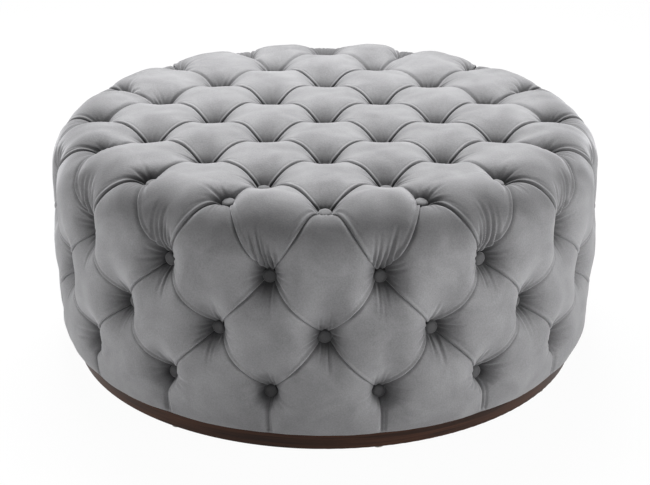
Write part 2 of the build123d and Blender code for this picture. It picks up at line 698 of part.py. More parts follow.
def build():
    """Every part of the ottoman, by name."""
    post_holes = screw_holes("post_screws", "deck_screws")
    base_places = hem_staple_places() + dust_staple_places()
    base_holes = screw_holes("post_screws", "plinth_screws", "rail_screws")
    base_holes += staple_holes(base_places, frame_base - hem_level + staple_leg + slip)
    bottom_ring = hoop(frame_radius, ring_inner_radius, frame_base, deck_thickness) - base_holes

    post_height = batten_top - rail_base
    post = Pos(0, -post_circle_radius, rail_base) * Box(post_size, post_size, post_height, align=upwards)
    posts = [turned(angle) * post - post_holes for angle in bays(post_share)]
    notch_size = post_size + 2 * slip
    notch = Box(notch_size, notch_size, deck_thickness + 2 * cut_overrun)
    notches = placed_round(notch, bays(post_share), post_circle_radius, mid_ring_level + deck_thickness / 2)
    mid_ring = hoop(frame_radius, ring_inner_radius, mid_ring_level, deck_thickness) - notches
    cleat = Box(post_size, cleat_depth, cleat_height, align=downwards)
    cleat_radius = post_circle_radius - post_size / 2 - slip - cleat_depth / 2
    cleats = placed_round(cleat, bays(post_share), cleat_radius, mid_ring_level - slip)

    long_rail, cross_rail = rails()
    batten_length = 2 * batten_half_length
    batten = Pos(0, 0, batten_top) * Box(post_size, batten_length, batten_depth, align=downwards)
    battens = [Pos(x, 0, 0) * batten for x in (-batten_x, batten_x)]
    battens = [solid - screw_holes("deck_screws") for solid in battens]
    inner_post_base = rail_top + slip
    inner_post_height = batten_top - batten_depth - slip - inner_post_base
    inner_post = Box(post_size, post_size, inner_post_height, align=upwards)
    inner_posts = [Pos(x, 0, inner_post_base) * inner_post for x in (-batten_x, batten_x)]

    deck = disc(frame_radius, deck_underside, deck_thickness)
    deck_reach = seat_level - deck_underside
    deck = deck - screw_holes("deck_screws") - needle_bores(deck_spots, deck_reach)
    wall_height = deck_top - frame_base
    wall = hoop(wall_board_radius, wall_board_radius - wall_board_thickness, frame_base, wall_height)
    wall = turned(butt_angle - pi / 2) * wall
    butt = Box(butt_gap, 2 * wall_board_thickness + 2 * cut_overrun, wall_height + 2 * cut_overrun)
    butt = turned(butt_angle) * Pos(0, -wall_board_radius, frame_base + wall_height / 2) * butt
    wall = wall - needle_bores(side_spots, wall_depth) - butt

    strap_outer = frame_radius
    strap_inner = strap_outer - strap_thickness
    strap_spans = [(ring_top, mid_ring_level), (mid_ring_top, deck_underside)]
    straps = []
    for low, high in strap_spans:
        height = high - low - 2 * strap_margin
        band = hoop(strap_outer, strap_inner, low + strap_margin, height)
        keep = Pos(0, -strap_outer, low) * Box(strap_width, strap_outer, high - low, align=upwards)
        keep = turned(butt_angle) * keep
        straps.append(band & keep)

    padding = foam()
    side_keep = disc(overall_diameter, 0, foam_floor)
    side_foam = (padding & side_keep) - needle_bores(side_spots, wall_depth)
    top_foam = padding - disc(overall_diameter, 0, foam_floor + slip) - needle_bores(deck_spots, deck_reach)

    cap, back, washer = button_cap(), button_back(), toggle()
    places = {
        "top_buttons": top_spots,
        "rim_buttons": rim_spots,
        "upper_row_buttons": row_spots(0),
        "middle_row_buttons": row_spots(1),
        "lower_row_buttons": row_spots(2),
    }
    dust_level = frame_base - slip - dust_cover_thickness
    dust_holes = staple_holes(dust_staple_places(), staple_leg)

    parts = {name: group(seat_location(spot) * cap for spot in spots) for name, spots in places.items()}
    parts["button_backs"] = group(seat_location(spot) * back for spot in all_spots)
    parts["top_twines"] = group(seat_location(spot) * tie(deck_depth(spot)) for spot in deck_spots)
    parts["side_twines"] = group(seat_location(spot) * tie(wall_depth) for spot in side_spots)
    parts["top_toggles"] = group(deck_toggle_place(spot) * washer for spot in deck_spots)
    parts["side_toggles"] = group(seat_location(spot, -wall_depth) * washer for spot in side_spots)
    for kind, spots in screw_places().items():
        parts[kind] = group(place * screw(screw_length(kind)) for place in spots)
    parts["hem_staples"] = group(place * staple() for place in hem_staple_places())
    parts["dust_cover_staples"] = group(place * staple() for place in dust_staple_places())
    parts["velvet_cover"] = velvet_cover()
    parts["wadding"] = wadding()
    parts["side_foam"] = side_foam
    parts["top_foam"] = top_foam
    parts["wall_board"] = wall
    parts["joint_straps"] = group(straps)
    parts["top_deck"] = deck
    parts["deck_battens"] = group(battens)
    parts["inner_posts"] = group(inner_posts)
    parts["posts"] = group(posts)
    parts["mid_ring"] = mid_ring
    parts["ring_cleats"] = group(cleats)
    parts["bottom_ring"] = bottom_ring
    parts["long_rail"] = long_rail
    parts["cross_rail"] = cross_rail
    parts["dust_cover"] = disc(dust_cover_radius, dust_level, dust_cover_thickness) - dust_holes
    parts["plinth_ring"] = plinth_ring()
    block_holes = screw_holes("plinth_screws")
    parts["plinth_blocks"] = group(turned(a) * plinth_block() - block_holes for a in bays())
    parts["glides"] = group(placed_round(glide(), bays(post_share), plinth_middle, 0))
    parts["glide_nails"] = group(placed_round(nail(), bays(post_share), plinth_middle, 0))
    return parts


def main():
    os.makedirs("parts", exist_ok=True)
    for name, shape in build().items():
        shape.label = name
        export_step(shape, f"parts/{name}.step")
        print(name, len(shape.solids()), "solids")


if __name__ == "__main__":
    main()
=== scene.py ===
# %% [markdown]
# A round ottoman coffee table, deep-buttoned in grey velvet. The drum and its plinth are built in CAD, and
# this lesson dresses them. First the frame is loaded, then the velvet and the covered buttons are made over
# it, and last come the finishes, the light and the camera. Everything is in metres.

# %% Load the frame
import json
from math import cos, pi, radians, sin

import bmesh
import bpy
import numpy as np
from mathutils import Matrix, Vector


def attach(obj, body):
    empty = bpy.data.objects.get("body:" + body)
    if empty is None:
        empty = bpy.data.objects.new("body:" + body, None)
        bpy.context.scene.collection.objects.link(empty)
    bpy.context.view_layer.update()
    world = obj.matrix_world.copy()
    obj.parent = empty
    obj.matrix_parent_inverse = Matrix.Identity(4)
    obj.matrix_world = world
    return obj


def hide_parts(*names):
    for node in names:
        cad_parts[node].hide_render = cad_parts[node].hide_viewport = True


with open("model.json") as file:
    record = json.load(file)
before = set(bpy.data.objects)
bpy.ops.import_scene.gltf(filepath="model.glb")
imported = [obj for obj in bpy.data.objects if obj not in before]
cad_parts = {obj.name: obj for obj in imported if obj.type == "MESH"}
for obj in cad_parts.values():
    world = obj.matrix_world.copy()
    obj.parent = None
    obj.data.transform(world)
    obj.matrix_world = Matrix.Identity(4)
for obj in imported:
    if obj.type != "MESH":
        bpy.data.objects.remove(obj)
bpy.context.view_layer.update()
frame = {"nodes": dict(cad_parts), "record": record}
nodes = frame["nodes"]
print("parts in the frame:", len(nodes))

# %% [markdown]
# Every button sits on a smooth surface hidden below the tufts: a flat top, a rounded shoulder and an
# upright side. Places on it are written in a plan like a flattened paper pattern. The plan's radius is the
# walk from the middle of the top, over the puffed cover's shoulder and down its side, so a pleat that looks
# straight on the cover is straight in the plan. The sizes are those that the frame was made from, with the
# cover a little fuller on the shoulder.

# %% The surface that the buttons sit on
overall_radius, overall_height = 0.500, 0.440
side_crown, top_crown, shoulder_puff = 0.048, 0.038, 0.003
seat_radius = overall_radius - side_crown
seat_level = overall_height - top_crown
shoulder_radius, cover_puff = 0.060, 0.045
puffed_radius = shoulder_radius + cover_puff
flat_run = seat_radius - shoulder_radius
shoulder_run = puffed_radius * pi / 2
hem_level = 0.038


def tilt_at(run):
    """How far the surface leans over at a run: nothing on top, and a quarter turn on the side."""
    return np.clip((run - flat_run) / puffed_radius, 0, pi / 2)


def seat_surface(angle, run):
    """Points of the seats' surface and the directions straight out of it, for arrays of angle and run.

    The run goes straight out over the flat top and round a quarter circle at the shoulder, and what is
    left of it goes straight down. The angle turns that round the drum, from 0 at the front.
    """
    tilt = tilt_at(run)
    past = np.maximum(run - flat_run - shoulder_run, 0)
    radius = np.minimum(run, flat_run) + shoulder_radius * np.sin(tilt)
    level = seat_level - shoulder_radius + shoulder_radius * np.cos(tilt) - past
    point = np.stack([radius * np.sin(angle), -radius * np.cos(angle), level], -1)
    out = np.stack([np.sin(tilt) * np.sin(angle), -np.sin(tilt) * np.cos(angle), np.cos(tilt)], -1)
    return point, out


def run_to_level(level):
    """The walk from the middle to a level on the side: the flat, the shoulder and what lies below it."""
    return flat_run + shoulder_run + seat_level - shoulder_radius - level


def crown_at(run):
    """How far crowns stand above the seats at a run.

    The top's height grows evenly over the shoulder to the side's, with half a sine wave added there.
    """
    share = np.clip((run - flat_run) / shoulder_run, 0, 1)
    return top_crown + (side_crown - top_crown) * share + shoulder_puff * np.sin(pi * share)


def plan_to_polar(plan):
    """Angle and run of places in the plan: the direction from the front, and the distance to the middle."""
    return np.arctan2(plan[..., 0], -plan[..., 1]), np.hypot(plan[..., 0], plan[..., 1])


def polar_to_plan(angle, run):
    """Places in the plan: the run times the angle's sine to the right, and times its cosine forward."""
    return np.stack([run * np.sin(angle), -run * np.cos(angle)], -1)


print("walk from middle to hem: %.3f m" % run_to_level(hem_level))

# %% [markdown]
# Deep buttoning follows a lattice of diamonds. On top it is a square lattice turned on its corner, with
# buttons where i + j is even, 21 in all. Sixteen more lie round the rim and 48 stand in three staggered
# rows down the side. Rim buttons whose pleat to the lattice is short are held up by it a little.

# %% Buttons
lattice_pitch, lattice_reach = 0.1015, 4
rim_run = flat_run + (lattice_reach * lattice_pitch - flat_run) * puffed_radius / shoulder_radius
ring_count = 16
ring_step = 2 * pi / ring_count
upper_row_level, row_drop = 0.312, 0.1045
rim_lifts = (0.0, 0.007, 0.005, 0.007)
same_place = 1e-4


def lattice_spot(i, j):
    """A top button: i steps right and j steps forward of the middle, as (angle, run)."""
    if max(abs(i), abs(j)) == lattice_reach:
        return np.arctan2(i, j), rim_run
    return np.arctan2(i, j), np.hypot(i, j) * lattice_pitch


def rim_spot(k):
    """A rim button, k steps round from the front."""
    return k * ring_step, rim_run


def row_spot(row, k):
    """A side button, k steps round from the front, row 0 being the upper row."""
    return k * ring_step, run_to_level(upper_row_level - row * row_drop)


def seat_lift(spot):
    """How far a button stands proud of the seats: only those on the rim do, in turn round each quarter."""
    if abs(spot[1] - rim_run) > same_place:
        return 0.0
    return rim_lifts[round(spot[0] / ring_step) % len(rim_lifts)]


lattice_range = range(1 - lattice_reach, lattice_reach)
lattice = [(i, j) for i in lattice_range for j in lattice_range if abs(i) + abs(j) <= lattice_reach]
button_spots = {
    "top_buttons": [lattice_spot(i, j) for i, j in lattice if (i + j) % 2 == 0],
    "rim_buttons": [rim_spot(k) for k in range(ring_count)],
    "upper_row_buttons": [row_spot(0, k + 0.5) for k in range(ring_count)],
    "middle_row_buttons": [row_spot(1, k) for k in range(ring_count)],
    "lower_row_buttons": [row_spot(2, k + 0.5) for k in range(ring_count)],
}
print("buttons:", {name: len(spots) for name, spots in button_spots.items()})

# %% [markdown]
# Each tuft is the polygon between neighbouring buttons, listed here as its corners, anticlockwise from its
# head (the corner furthest from the viewer or highest up). Round the rim the square lattice meets the ring
# in turns of four tufts, some of which need five corners. The lowest tufts end at the hem.

# %% Tufts
def hem_spot(k):
    """The foot of the last pleat, below a lower-row button."""
    return k * ring_step, run_to_level(hem_level)


tufts = []
for i, j in [(i, j) for i, j in lattice if (i + j) % 2 == 1]:
    corners = [lattice_spot(i + di, j + dj) for di, dj in ((0, -1), (-1, 0), (0, 1), (1, 0))]
    tufts.append(("top", corners))
for turn in range(0, ring_count, ring_count // 4):
    inner = [lattice_spot(*place) for place in ((1, 3), (2, 2), (3, 1))]
    inner = [(angle + turn * ring_step, run) for angle, run in inner]
    for k, heads in enumerate((inner[:1], inner[:2], inner[1:], inner[2:])):
        near, far, foot = rim_spot(turn + k), rim_spot(turn + k + 1), row_spot(0, turn + k + 0.5)
        kind = "rim" if len(heads) == 1 else "wide_rim"
        tufts.append((kind, [*reversed(heads), near, foot, far]))
for k in range(ring_count):
    tufts.append(("rim_side", [rim_spot(k), row_spot(0, k - 0.5), row_spot(1, k), row_spot(0, k + 0.5)]))
    tufts.append(("side", [row_spot(0, k + 0.5), row_spot(1, k), row_spot(2, k + 0.5), row_spot(1, k + 1)]))
    left, right = row_spot(2, k - 0.5), row_spot(2, k + 0.5)
    tufts.append(("hem", [row_spot(1, k), left, hem_spot(k - 0.5), hem_spot(k + 0.5), right]))
print("tufts:", len(tufts))

# %% [markdown]
# A tuft swells up between its buttons and falls to a crease along each pleat. One formula can make every
# corner of every tuft: a patch from the button (0, 0) out along two half pleats (1, 0) and (0, 1) to the
# crown (1, 1). All the patches are worked out together as arrays. First comes a table with one row for
# each patch: its corner, the pleats beside it, the crown, and what kind of corner it is.

# %% Corner patches
roles = {
    "top": ["head", "side", "foot", "side"],
    "rim": ["rim_head", "side", "long_foot", "side"],
    "wide_rim": ["side", "side", "side", "long_foot", "side"],
    "rim_side": ["under_rim", "side", "foot", "side"],
    "side": ["head", "side", "foot", "side"],
    "hem": ["head", "side", "hem", "hem", "side"],
}
lower_edges = {
    "top": (1, 2), "rim": (1, 2), "wide_rim": (2, 3), "rim_side": (1, 2), "side": (1, 2), "hem": (),
}
crown_pulls = {"wide_rim": (0.57, 0.43), "hem": (0.45, 0.55)}


def on_top(a, b):
    """True where the pleat between two buttons lies straight in the flat part of the plan."""
    return max(a[1], b[1]) < rim_run + same_place


def near_turn(angle, reference):
    """The same direction as angle, within half a turn of reference."""
    return reference + (angle - reference + pi) % (2 * pi) - pi


def middle_of(kind, corners):
    """The crown of a tuft, as (angle, run): the mean of a top tuft's corners, and of others' head and foot.

    A wide rim tuft has two heads. Its crown and a hem tuft's are pulled by head and foot unevenly.
    """
    turned = [(near_turn(angle, corners[-2][0]), run) for angle, run in corners]
    if kind == "top":
        angle, run = plan_to_polar(np.mean([polar_to_plan(*c) for c in corners], 0))
        return near_turn(float(angle), corners[0][0]), float(run)
    if kind == "wide_rim":
        (a, b, _, foot), (of_heads, of_foot) = turned[:4], crown_pulls[kind]
        return (a[0] + b[0]) / 2, of_heads * (a[1] + b[1]) / 2 + of_foot * foot[1]
    if kind == "hem":
        of_head, of_foot = crown_pulls[kind]
        return turned[0][0], of_head * turned[0][1] + of_foot * turned[2][1]
    return (turned[0][0] + turned[2][0]) / 2, (turned[0][1] + turned[2][1]) / 2


rows = []
for number, (kind, corners) in enumerate(tufts):
    count = len(corners)
    for i, corner in enumerate(corners):
        after, before = corners[(i + 1) % count], corners[i - 1]
        edges = (i, (i - 1) % count)
        rows.append({
            "tuft": number, "kind": kind, "role": roles[kind][i], "edges": edges,
            "corner": corner, "ends": (after, before), "middle": middle_of(kind, corners),
            "flat": (on_top(corner, after), on_top(corner, before)),
            "lower": [edge in lower_edges[kind] for edge in edges],
        })
patch_count = len(rows)
print("corner patches:", patch_count)

# %% [markdown]
# On top the pleats are straight in the plan. Down the side the cloth is drawn up between the buttons, so
# each pleat bows up a little. Between its edges a patch is filled in with a Coons surface, which blends the
# four edges. Its points lie closer together near the button, where the folds are finest.

# %% The plan of each patch
steps, crowding = 38, 1.5
side_bow, clear_of_rim = 0.0085, 0.01
corner, ends, middle, flat = (
    np.array([row[key] for row in rows]) for key in ("corner", "ends", "middle", "flat"))
corner_plan, ends_plan, middle_plan = (
    polar_to_plan(spots[..., 0], spots[..., 1]) for spots in (corner, ends, middle))
half_way = np.full((patch_count, 1), 0.5)


def on_hem_edges(*edges):
    """For both pleats of each patch, whether it is one of these edges of a hem tuft."""
    return np.array([[row["kind"] == "hem" and edge in edges for edge in row["edges"]] for row in rows])


def along_pleat(which, share):
    """Plan places at shares (0 to 1) of the way along one of each patch's two pleats, from its button.

    On top they lie on a straight line. Elsewhere angle and run change evenly, and a parabola that is
    highest half-way draws the pleat up.
    """
    end = ends[:, which]
    end_angle = near_turn(end[:, 0], corner[:, 0])[:, None]
    angle = corner[:, :1] + (end_angle - corner[:, :1]) * share
    run = corner[:, 1:] + (end[:, 1:] - corner[:, 1:]) * share
    run = run - np.where(bowed[:, which], side_bow, 0)[:, None] * 4 * share * (1 - share)
    curved = polar_to_plan(angle, run)
    straight = corner_plan[:, None] + (ends_plan[:, which] - corner_plan)[:, None] * share[..., None]
    return np.where(flat[:, which, None, None], straight, curved)


def patch_plan(a, b):
    """Plan places over every patch, at arrays a and b: a Coons blend of its two half pleats and spokes.

    It adds what the edges b = 0 and b = 1 give, blended by b, to what the edges a = 0 and a = 1 give,
    blended by a, and takes away the corners, which both have counted.
    """
    a2, b2 = a.reshape(patch_count, -1), b.reshape(patch_count, -1)
    a3, b3 = a2[..., None], b2[..., None]
    start, crown = corner_plan[:, None], middle_plan[:, None]
    mid_one, mid_two = along_pleat(0, half_way), along_pleat(1, half_way)
    first, second = along_pleat(0, a2 / 2), along_pleat(1, b2 / 2)
    spoke_two = mid_two + (crown - mid_two) * a3
    spoke_one = mid_one + (crown - mid_one) * b3
    corners = (
        (1 - a3) * (1 - b3) * start + a3 * (1 - b3) * mid_one + (1 - a3) * b3 * mid_two + a3 * b3 * crown)
    blend = (1 - b3) * first + b3 * spoke_two + (1 - a3) * second + a3 * spoke_one - corners
    return blend.reshape(*a.shape, 2)


is_hem, is_hem_line = on_hem_edges(1, 2, 3), on_hem_edges(2)
bowed = ~flat & ~is_hem & (np.minimum(corner[:, None, 1], ends[:, :, 1]) > rim_run + clear_of_rim)
from_button = np.linspace(0, 1, steps) ** crowding
grid_a = from_button[None, :, None] * np.ones((patch_count, 1, steps))
grid_b = from_button[None, None, :] * np.ones((patch_count, steps, 1))
print("pleats that bow up:", int(bowed.sum() / 2))

# %% [markdown]
# Folds have a width in millimetres, so each patch is also measured on the seats' surface: its half pleats,
# the spokes from their middles to the crown, and the angle that opens between the two pleats.

# %% The size of each patch
def real_place(plan):
    """Points of the seats' surface at places in the plan."""
    return seat_surface(*plan_to_polar(plan))[0]


tip, crown_point = real_place(corner_plan), real_place(middle_plan)
mids = [real_place(along_pleat(n, half_way))[:, 0] for n in (0, 1)]
half_pleats = [np.linalg.norm(mid - tip, axis=1) for mid in mids]
spokes = [np.linalg.norm(crown_point - mid, axis=1) for mid in mids]
cos_opening = ((mids[0] - tip) * (mids[1] - tip)).sum(1) / half_pleats[0] / half_pleats[1]
opening = np.arccos(np.clip(cos_opening, -1, 1))
print("half pleats: %.0f to %.0f mm" % (1000 * min(half_pleats[0]), 1000 * max(half_pleats[0])))

# %% [markdown]
# The height of a patch climbs out of the pocket round its button and levels off at the crown. Along the
# pleats it stops a little lower, which leaves shallow saddles between the buttons, lower still where a
# pleat is short. Heights are worked out as a share of the crown's, which is greater on the side than on
# top. First come the shares at the four corners of each patch.

# %% Heights at the patches' corners
rng = np.random.default_rng(11)
saddle_share, top_saddle_share = 0.935, 0.81
full_pleat, short_pleat_power = 0.135, 1.3
hem_foot_height, hem_side_height, hem_line_height = 0.0275, 0.0300, 0.0305
crown_spread = 0.022


def column(values):
    """One value for each patch, ready to work with its grid."""
    return np.asarray(values)[:, None, None]


crown_here = crown_at(plan_to_polar(patch_plan(grid_a, grid_b))[1])
is_hem_corner = np.array([row["role"] == "hem" for row in rows])
pleat_lengths = np.linalg.norm(corner_plan[:, None] - ends_plan, axis=-1)
corner_lift = np.array([seat_lift(row["corner"]) for row in rows])
corner_share = np.where(is_hem_corner, hem_foot_height / side_crown, corner_lift / crown_at(corner[:, 1]))
mid_shares = []
for n in (0, 1):
    shortness = np.clip(pleat_lengths[:, n] / full_pleat, 0, 1) ** short_pleat_power
    share = np.where(flat[:, n], top_saddle_share * shortness, saddle_share)
    share[is_hem[:, n]] = hem_side_height / side_crown
    share[is_hem_line[:, n]] = hem_line_height / side_crown
    mid_shares.append(share)
crown_share = 1 + rng.normal(0, crown_spread, len(tufts))[[row["tuft"] for row in rows]]
print("crowns stand %.0f to %.0f mm above the buttons" % (1000 * crown_here.min(), 1000 * crown_here.max()))

# %% [markdown]
# Between its corners a patch rises in rounded steps, steep at the button and level at the crown, and the
# steps are steepest where a pleat leaves the rim downwards. The spot under each button stays flat. A third
# of the way out between the pleats the cloth is drawn in to a hollow, and just under the rim it swells
# instead. Reach and heading say how far and in which direction a point lies from its button.

# %% Heights inside the patches
seat_flat = 0.0095
fullness, rim_fullness = 2.25, 3.4
hollow_shares = {
    "head": 0.10, "rim_head": 0.10, "under_rim": -0.10, "foot": 0.15, "long_foot": 0.17, "side": 0.01,
    "hem": 0.0,
}
hollow_to_one = (27 / 4) ** 2  # a share times the square of what is left is at most 4 / 27
tiny = 1e-6


def rise(share, power):
    """1 less a power of what is left: steep at the button, level at the crown."""
    return 1 - (1 - np.clip(share, 0, 1)) ** power


def by_role(table):
    """The values of a table of corner roles, one for each patch."""
    return np.array([table[row["role"]] for row in rows])


walk_a, walk_b = grid_a * column(half_pleats[0]), grid_b * column(half_pleats[1])
cos_open = column(np.cos(opening))
reach = np.sqrt(walk_a ** 2 + walk_b ** 2 + 2 * walk_a * walk_b * cos_open) + tiny
heading = np.arctan2(walk_b * column(np.sin(opening)), walk_a + walk_b * cos_open)
under_button = column(np.where(is_hem_corner, 0, seat_flat)) / reach * (1 - grid_a ** 2) * (1 - grid_b ** 2)
clear_share = np.maximum(1 - under_button, 0)
steep = (abs(corner[:, None, 1] - rim_run) < same_place) & (ends[..., 1] > rim_run + clear_of_rim)
power_a = fullness + (rim_fullness - fullness) * column(steep[:, 0]) * (1 - grid_b) ** 2
power_b = fullness + (rim_fullness - fullness) * column(steep[:, 1]) * (1 - grid_a) ** 2
rise_a, rise_b = rise(grid_a * clear_share, power_a), rise(grid_b * clear_share, power_b)
shape = column(corner_share) * (1 - rise_a) * (1 - rise_b)
shape += column(mid_shares[0]) * rise_a * (1 - rise_b) + column(mid_shares[1]) * rise_b * (1 - rise_a)
shape += column(crown_share) * rise_a * rise_b
hollow = grid_a * (1 - grid_a) ** 2 * grid_b * (1 - grid_b) ** 2 * hollow_to_one
height = (shape - column(by_role(hollow_shares)) * hollow) * crown_here
print("middle of a tuft: %.0f mm up" % (1000 * np.median(height[:, -1, -1])))

# %% [markdown]
# Each pleat is a fold: the tuft above ends in a rolled lip, and the one below slides under it. The lip
# makes a thin dark line with a bright edge over it, and its points are pulled over the line in the plan. A
# pleat that leaves a button downwards has a second tuck beside the lip, which runs out about half-way. On
# the hem's upright pleats a second line to the right makes a flat band. All of this follows from a point's
# distance to its first and second pleat, and from how far along them it lies.

# %% Pleats and tucks
groove_depth, groove_width, lip_cover = 0.0044, 0.0036, 0.0021
lip_height, lip_place, lip_width = 0.0011, 0.0034, 0.0016
line_depth, line_place, line_width = 0.0009, 0.0068, 0.0014
tuck_depth, tuck_place, tuck_spread, tuck_width, tuck_end = 0.0030, 0.0042, 0.0075, 0.0019, 1.05
band_depth, band_place, band_width = 0.0030, 0.0058, 0.0016
overhang, overhang_width = 0.0018, 0.0022
pleat_start, least_width = 0.12, 1e-3


def bell(distance, place, width):
    """A smooth hump, 1 at its place: e to the power of less the square of the distance in widths."""
    return np.exp(-((distance - place) / width) ** 2)


sine = np.sin(opening)
from_first = grid_b * ((1 - grid_a) * column(half_pleats[1] * sine) + grid_a * column(spokes[0]))
from_second = grid_a * ((1 - grid_b) * column(half_pleats[0] * sine) + grid_b * column(spokes[1]))
place_a, place_b = grid_a.copy(), grid_b.copy()
hangs_over = np.array([row["lower"] for row in rows], float)
right_of_pleat = np.array([
    row["middle"][0] > near_turn(row["corner"][0], row["middle"][0]) for row in rows])
tucked = hangs_over * np.array([[row["role"] == "side"] * 2 for row in rows])
for n in (0, 1):
    distance, along, beside, place = (
        (from_first, grid_a, grid_b, place_b), (from_second, grid_b, grid_a, place_a))[n]
    upper = column(hangs_over[:, n])
    start = np.clip(along / pleat_start, 0, 1)
    has_pleat = column(np.where(is_hem_line[:, n], 0.0, 1.0)) * start
    groove = bell(distance, 0, groove_width - lip_cover * upper)
    ridge = upper * bell(distance, lip_place, lip_width)
    second = upper * bell(distance, line_place, line_width)
    height += has_pleat * (-groove_depth * groove + lip_height * ridge - line_depth * second)
    stop = np.clip(tuck_end - along, 0, 1)
    tuck = bell(distance, tuck_place + tuck_spread * along, tuck_width) * start * stop
    height -= column(tucked[:, n]) * tuck_depth * tuck
    band = column(is_hem[:, n] & right_of_pleat) * bell(distance, band_place, band_width)
    height -= band_depth * has_pleat * band
    pull = upper * has_pleat * overhang * distance / overhang_width * np.exp(1 - distance / overhang_width)
    place -= pull / np.maximum(distance / np.maximum(beside, tiny), least_width)
print("pleats with a hanging lip:", int(hangs_over.sum() / 2))

# %% [markdown]
# Flat cloth drawn into a point has too much edge, so it gathers. Above and below a button the folds are
# nearly upright, and longest above the upper row. Beside it they are shorter and fan out. Every fold is a
# narrow valley with a soft ridge each side, and its length, depth and lean differ a little from its
# neighbours'. The table gives their count, depth, length and spacing, where a spacing of 0 means a fan.

# %% Gathers
gathers = {
    "head": (3, 0.0042, 0.054, 0.0048), "rim_head": (2, 0.0014, 0.040, 0.0),
    "side": (4, 0.0038, 0.042, 0.0), "under_rim": (3, 0.0022, 0.040, 0.0050),
    "foot": (4, 0.0038, 0.056, 0.0045), "long_foot": (5, 0.0072, 0.092, 0.0066),
    "hem": (0, 0.0, 0.03, 0.0),
}
top_calm, rim_calm = 0.5, 0.7
jitter_range, depth_range, length_range, lean_spread = 0.15, (0.55, 1.25), (0.6, 1.1), 0.04
width_range, widening, parting = (0.0014, 0.0021), 0.012, 0.03
gather_start, start_ease, pleat_ease, fade_slope = 0.010, 0.008, 0.004, 1.5
ridge_share, ridge_place, ridge_width = 0.45, 1.9, 0.9

counts, depths, lengths, spreads = (
    by_role({role: values[k] for role, values in gathers.items()}) for k in range(4))
on_top_tuft = np.array([row["kind"] == "top" for row in rows])
on_rim_side = np.array([row["kind"] in ("rim", "wide_rim") and row["role"] == "side" for row in rows])
calmer = np.where(on_top_tuft, top_calm, np.where(on_rim_side, rim_calm, 1.0))
across = reach * np.sin(heading - column(opening / 2))
start = np.clip((reach - gather_start) / start_ease, 0, 1)
clear_of_pleats = np.clip(np.minimum(from_first, from_second) / pleat_ease, 0, 1)
for n in range(int(counts.max())):
    place = (n + 0.5) / np.maximum(counts, 1)
    jitter = rng.uniform(-jitter_range, jitter_range, patch_count) / np.maximum(counts, 1)
    depth = np.where(n < counts, depths * rng.uniform(*depth_range, patch_count), 0) * calmer
    length = lengths * rng.uniform(*length_range, patch_count)
    lean = column(rng.normal(0, lean_spread, patch_count)) * (reach / column(length)) ** 2 * reach
    radial = (heading - column((place + jitter) * opening)) * reach
    upright = across - column((place + jitter - 0.5) * counts) * (column(spreads) + parting * reach)
    off = np.where(column(spreads) > 0, upright, radial) - lean
    width = column(rng.uniform(*width_range, patch_count)) + widening * reach
    fade = np.clip(fade_slope * (1 - reach / column(length)), 0, 1) * (1 - grid_a ** 4) * (1 - grid_b ** 4)
    wave = bell(off, 0, width) - ridge_share * bell(np.abs(off) / width, ridge_place, ridge_width)
    height -= column(depth) * start * fade * wave * clear_of_pleats
print("gathers:", int(counts.sum()))

# %% [markdown]
# Stuffed velvet is never quite even, so a broad slow wave and a smaller one are added to the tufts. Then
# every point is pushed straight out of the seats' surface by its height.

# %% The velvet's points
wave_count, stretch_range = 7, (0.7, 1.4)
unevenness = ((0.0012, 0.11, 3), (0.0006, 0.045, 5))  # depth, wavelength and seed


def slow_noise(places, wavelength, seed):
    """A smooth unevenness between about -1 and 1: a sum of sines in scattered directions."""
    local = np.random.default_rng(seed)
    total = np.zeros(places.shape[:-1])
    for _ in range(wave_count):
        direction = local.normal(size=3)
        direction *= 2 * pi / wavelength / np.linalg.norm(direction) * local.uniform(*stretch_range)
        total += np.sin(places @ direction + local.uniform(0, 2 * pi))
    return total / (wave_count / 2)


velvet_angle, velvet_run = plan_to_polar(patch_plan(place_a, place_b))
point, out = seat_surface(velvet_angle, velvet_run)
lift = np.clip(height / crown_here, 0, 1)
height += lift * sum(depth * slow_noise(point, wavelength, seed) for depth, wavelength, seed in unevenness)
velvet_points = point + out * height[..., None]
print("velvet reaches %.3f m out and %.3f m up" % (
    np.hypot(velvet_points[..., 0], velvet_points[..., 1]).max(), velvet_points[..., 2].max()))

# %% [markdown]
# Blender takes a mesh as plain lists of points and of the corners of faces, which foreach_set fills from
# arrays in one go. Each patch is a grid of points, so one pattern of faces, repeated, covers them all.
# Neighbouring patches share their edge points, which are merged so that the cover is one skin.

# %% Mesh helpers
merge_distance, flat_face = 2e-5, 1e-6


def mesh_object(name, points, faces):
    """A smooth mesh object from an array of points and one of faces with the same number of corners."""
    mesh = bpy.data.meshes.new(name)
    mesh.vertices.add(len(points))
    mesh.vertices.foreach_set("co", np.asarray(points, np.float32).ravel())
    size = faces.shape[1]
    mesh.loops.add(faces.size)
    mesh.loops.foreach_set("vertex_index", faces.ravel().astype(np.int32))
    mesh.polygons.add(len(faces))
    mesh.polygons.foreach_set("loop_start", np.arange(0, faces.size, size, dtype=np.int32))
    mesh.polygons.foreach_set("loop_total", np.full(len(faces), size, np.int32))
    mesh.polygons.foreach_set("use_smooth", np.ones(len(faces), bool))
    mesh.update(calc_edges=True)
    obj = bpy.data.objects.new(name, mesh)
    bpy.context.scene.collection.objects.link(obj)
    return obj


def grid_faces(rows_count, columns_count, closed=False):
    """The four-cornered faces of a grid of points, whose columns may close round."""
    index = np.arange(rows_count * columns_count).reshape(rows_count, columns_count)
    index = np.concatenate([index, index[:, :1]], 1) if closed else index
    quads = [index[:-1, :-1], index[1:, :-1], index[1:, 1:], index[:-1, 1:]]
    return np.stack(quads, -1).reshape(-1, 4)


